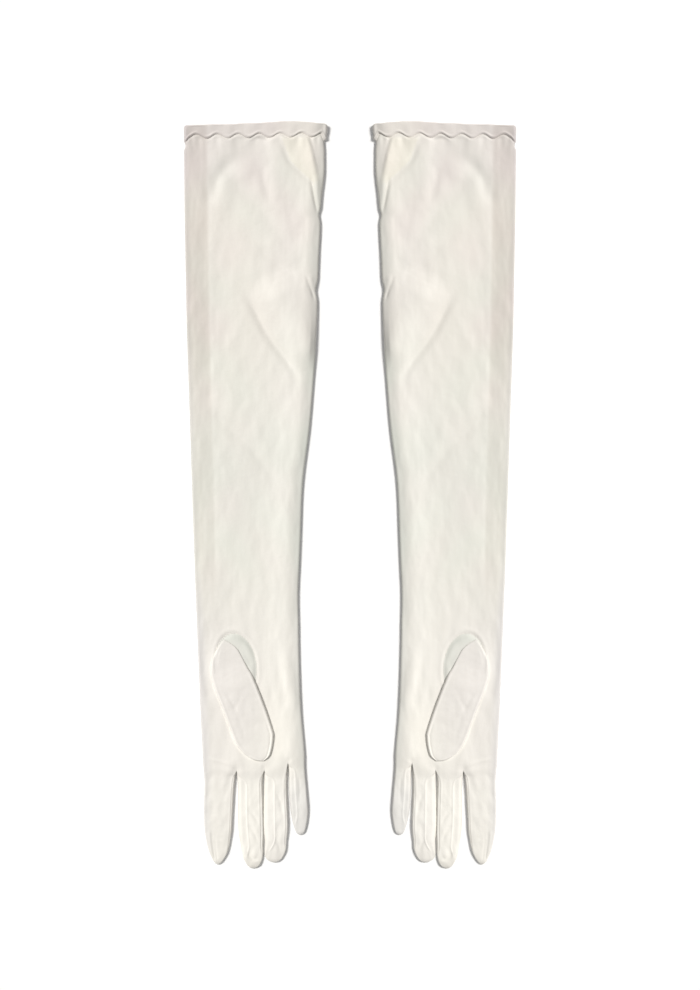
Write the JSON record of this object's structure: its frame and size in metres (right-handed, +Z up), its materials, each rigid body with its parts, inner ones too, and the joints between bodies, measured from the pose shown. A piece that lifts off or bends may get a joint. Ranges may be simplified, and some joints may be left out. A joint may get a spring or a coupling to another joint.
{
  "type": "opera gloves",
  "caption": "Opera-length satin gloves lying flat, palms up: thumbs folded over the palms, fourchettes between the fingers, and a gathered elastic hem with wavy stitching.",
  "frame": {"origin": "on the table the gloves lie on, under the centre of the pair's bounding box", "axes": "+X from the right-hand glove towards the left-hand glove, +Y from the fingertips to the hems, +Z up from the table, which is the palm side"},
  "size_m": [0.2664, 0.596, 0.0143],
  "materials": {
    "satin": "ivory stretch satin, soft sheen",
    "thread": "ivory polyester sewing thread",
    "elastic": "white braided elastic, matt ribs"
  },
  "bodies": {
    "right_arm": {"right_hem_band": "satin", "right_hem_elastic": "elastic", "right_hem_thread": "thread", "right_upper_sleeve": "satin", "right_upper_seam_thread": "thread"},
    "right_forearm": {"right_forearm_sleeve": "satin", "right_forearm_seam_thread": "thread"},
    "right_hand": {"right_palm_and_back": "satin", "right_palm_seam_thread": "thread", "right_thumb_gusset": "satin", "right_thumb_hole_thread": "thread"},
    "right_thumb": {"right_thumb_stall": "satin", "right_thumb_closing_thread": "thread"},
    "right_index": {"right_index_stall": "satin", "right_index_ulnar_fourchette": "satin", "right_index_seam_thread": "thread"},
    "right_middle": {"right_middle_stall": "satin", "right_middle_radial_fourchette": "satin", "right_middle_ulnar_fourchette": "satin", "right_middle_seam_thread": "thread"},
    "right_ring": {"right_ring_stall": "satin", "right_ring_radial_fourchette": "satin", "right_ring_ulnar_fourchette": "satin", "right_ring_seam_thread": "thread"},
    "right_little": {"right_little_stall": "satin", "right_little_radial_fourchette": "satin", "right_little_seam_thread": "thread"},
    "left_arm": {"left_hem_band": "satin", "left_hem_elastic": "elastic", "left_hem_thread": "thread", "left_upper_sleeve": "satin", "left_upper_seam_thread": "thread"},
    "left_forearm": {"left_forearm_sleeve": "satin", "left_forearm_seam_thread": "thread"},
    "left_hand": {"left_palm_and_back": "satin", "left_palm_seam_thread": "thread", "left_thumb_gusset": "satin", "left_thumb_hole_thread": "thread"},
    "left_thumb": {"left_thumb_stall": "satin", "left_thumb_closing_thread": "thread"},
    "left_index": {"left_index_stall": "satin", "left_index_ulnar_fourchette": "satin", "left_index_seam_thread": "thread"},
    "left_middle": {"left_middle_stall": "satin", "left_middle_radial_fourchette": "satin", "left_middle_ulnar_fourchette": "satin", "left_middle_seam_thread": "thread"},
    "left_ring": {"left_ring_stall": "satin", "left_ring_radial_fourchette": "satin", "left_ring_ulnar_fourchette": "satin", "left_ring_seam_thread": "thread"},
    "left_little": {"left_little_stall": "satin", "left_little_radial_fourchette": "satin", "left_little_seam_thread": "thread"}
  },
  "joints": [
    {"name": "right_elbow", "type": "hinge", "parent": "right_arm", "child": "right_forearm", "pos_m": [-0.0781, 0.13, 0.008], "axis": [-1, 0, 0], "range_deg": [0, 90]},
    {"name": "right_wrist", "type": "hinge", "parent": "right_forearm", "child": "right_hand", "pos_m": [-0.082, -0.085, 0.008], "axis": [-1, 0, 0], "range_deg": [0, 70]},
    {"name": "right_thumb_flex", "type": "hinge", "parent": "right_hand", "child": "right_thumb", "pos_m": [-0.0962, -0.1386, 0.0143], "axis": [-0.9397, -0.342, 0], "range_deg": [0, 80]},
    {"name": "right_index_flex", "type": "hinge", "parent": "right_hand", "child": "right_index", "pos_m": [-0.1041, -0.226, 0.006], "axis": [-0.9999, -0.014, 0], "range_deg": [0, 90]},
    {"name": "right_middle_flex", "type": "hinge", "parent": "right_hand", "child": "right_middle", "pos_m": [-0.08, -0.228, 0.006], "axis": [-0.9985, -0.0541, 0], "range_deg": [0, 90]},
    {"name": "right_ring_flex", "type": "hinge", "parent": "right_hand", "child": "right_ring", "pos_m": [-0.0596, -0.227, 0.006], "axis": [-0.9999, -0.0105, 0], "range_deg": [0, 90]},
    {"name": "right_little_flex", "type": "hinge", "parent": "right_hand", "child": "right_little", "pos_m": [-0.0426, -0.219, 0.006], "axis": [-0.9973, -0.0732, 0], "range_deg": [0, 90]},
    {"name": "left_elbow", "type": "hinge", "parent": "left_arm", "child": "left_forearm", "pos_m": [0.0781, 0.13, 0.008], "axis": [-1, 0, 0], "range_deg": [0, 90]},
    {"name": "left_wrist", "type": "hinge", "parent": "left_forearm", "child": "left_hand", "pos_m": [0.082, -0.085, 0.008], "axis": [-1, 0, 0], "range_deg": [0, 70]},
    {"name": "left_thumb_flex", "type": "hinge", "parent": "left_hand", "child": "left_thumb", "pos_m": [0.0962, -0.1386, 0.0143], "axis": [-0.9397, 0.342, 0], "range_deg": [0, 80]},
    {"name": "left_index_flex", "type": "hinge", "parent": "left_hand", "child": "left_index", "pos_m": [0.1041, -0.226, 0.006], "axis": [-0.9999, 0.014, 0], "range_deg": [0, 90]},
    {"name": "left_middle_flex", "type": "hinge", "parent": "left_hand", "child": "left_middle", "pos_m": [0.08, -0.228, 0.006], "axis": [-0.9985, 0.0541, 0], "range_deg": [0, 90]},
    {"name": "left_ring_flex", "type": "hinge", "parent": "left_hand", "child": "left_ring", "pos_m": [0.0596, -0.227, 0.006], "axis": [-0.9999, 0.0105, 0], "range_deg": [0, 90]},
    {"name": "left_little_flex", "type": "hinge", "parent": "left_hand", "child": "left_little", "pos_m": [0.0426, -0.219, 0.006], "axis": [-0.9973, 0.0732, 0], "range_deg": [0, 90]},
    {"name": "left_glove_slide", "type": "slide", "parent": "right_arm", "child": "left_arm", "axis": [1, 0, 0], "range_m": [0, 0.15]}
  ]
}
